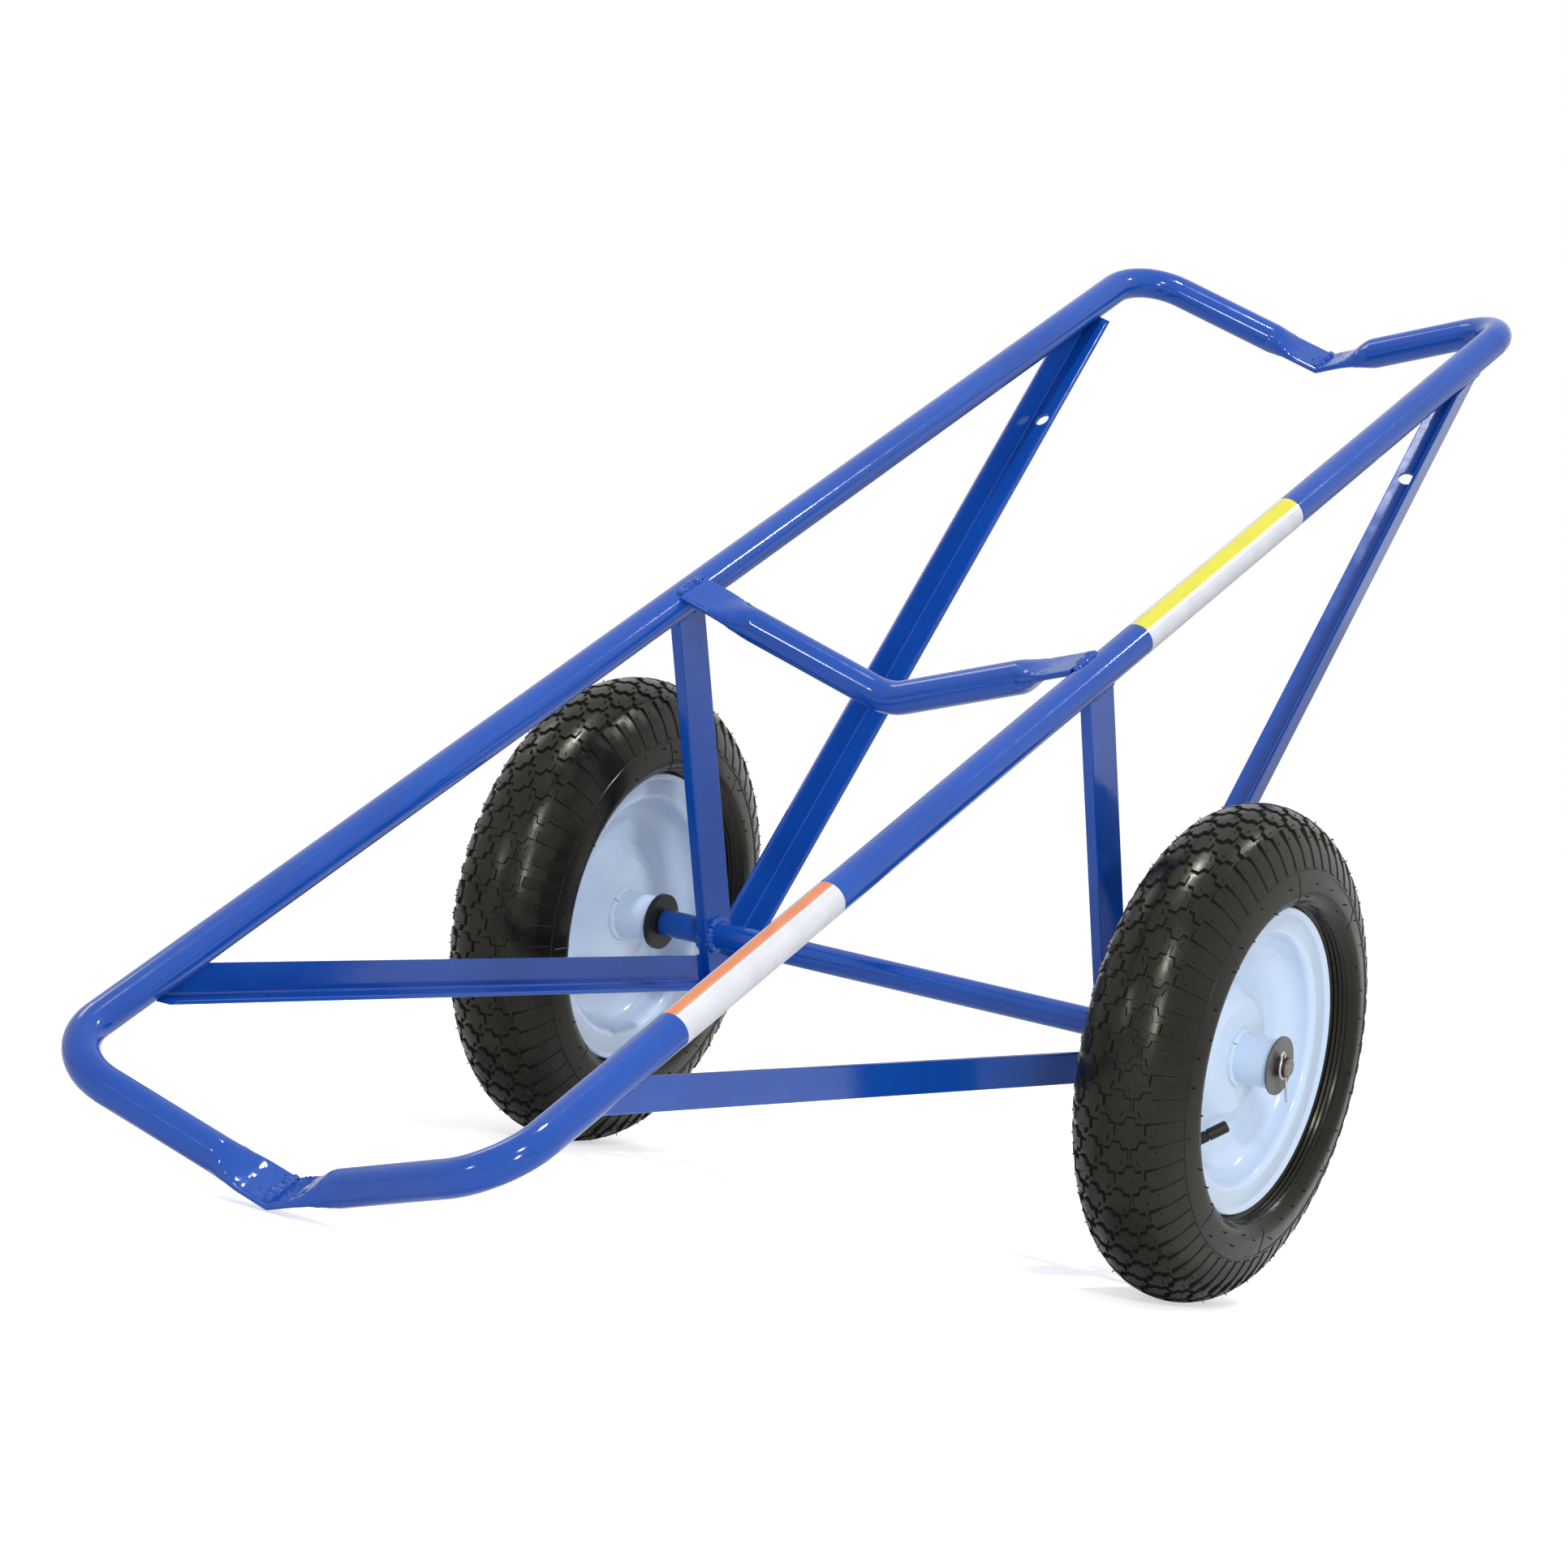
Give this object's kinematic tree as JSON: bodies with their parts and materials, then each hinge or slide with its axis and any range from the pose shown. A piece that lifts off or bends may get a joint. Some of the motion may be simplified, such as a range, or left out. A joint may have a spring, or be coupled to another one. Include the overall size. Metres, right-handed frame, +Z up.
{
  "type": "carpet dolly",
  "caption": "Carpet dolly: bent steel tube rails with V cradles, posts and angle braces welded over a through axle with pneumatic wheels.",
  "frame": {"origin": "on the floor, straight below the middle of the axle", "axes": "+X towards the raised tail, +Y from the left wheel to the right one, +Z up"},
  "size_m": [1.4186, 0.7018, 0.8632],
  "materials": {
    "frame_paint": "gloss",
    "rim_paint": "gloss",
    "tyre_rubber": "matte",
    "inner_rubber": "matte",
    "bright_steel": "satin",
    "bearing_steel": "polished",
    "black_plastic": "satin"
  },
  "bodies": {
    "frame": {"centre_cross_tube": "frame_paint", "axle_tube": "frame_paint", "axle_rod": "bright_steel", "left_rail_tube": "frame_paint", "left_post": "frame_paint", "left_front_brace": "frame_paint", "left_rear_brace": "frame_paint", "left_inner_washer": "black_plastic", "left_outer_washer": "bright_steel", "left_cotter_pin": "bright_steel", "left_bearing_inner_races": "bearing_steel", "right_rail_tube": "frame_paint", "right_post": "frame_paint", "right_front_brace": "frame_paint", "right_rear_brace": "frame_paint", "right_inner_washer": "black_plastic", "right_outer_washer": "bright_steel", "right_cotter_pin": "bright_steel", "right_bearing_inner_races": "bearing_steel"},
    "left_wheel": {"left_tyre": "tyre_rubber", "left_inner_tube": "inner_rubber", "left_rim_outer_half": "rim_paint", "left_rim_inner_half": "rim_paint", "left_hub_tube": "rim_paint", "left_bearing_outer_races": "bearing_steel", "left_bearing_balls": "bearing_steel", "left_valve_stem": "inner_rubber", "left_valve_cap": "black_plastic"},
    "right_wheel": {"right_tyre": "tyre_rubber", "right_inner_tube": "inner_rubber", "right_rim_outer_half": "rim_paint", "right_rim_inner_half": "rim_paint", "right_hub_tube": "rim_paint", "right_bearing_outer_races": "bearing_steel", "right_bearing_balls": "bearing_steel", "right_valve_stem": "inner_rubber", "right_valve_cap": "black_plastic"}
  },
  "joints": [
    {"name": "left_wheel_spin", "type": "hinge", "parent": "frame", "child": "left_wheel", "pos_m": [0, -0.293, 0.2], "axis": [0, 1, 0], "continuous": true},
    {"name": "right_wheel_spin", "type": "hinge", "parent": "frame", "child": "right_wheel", "pos_m": [0, 0.293, 0.2], "axis": [0, 1, 0], "continuous": true}
  ]
}
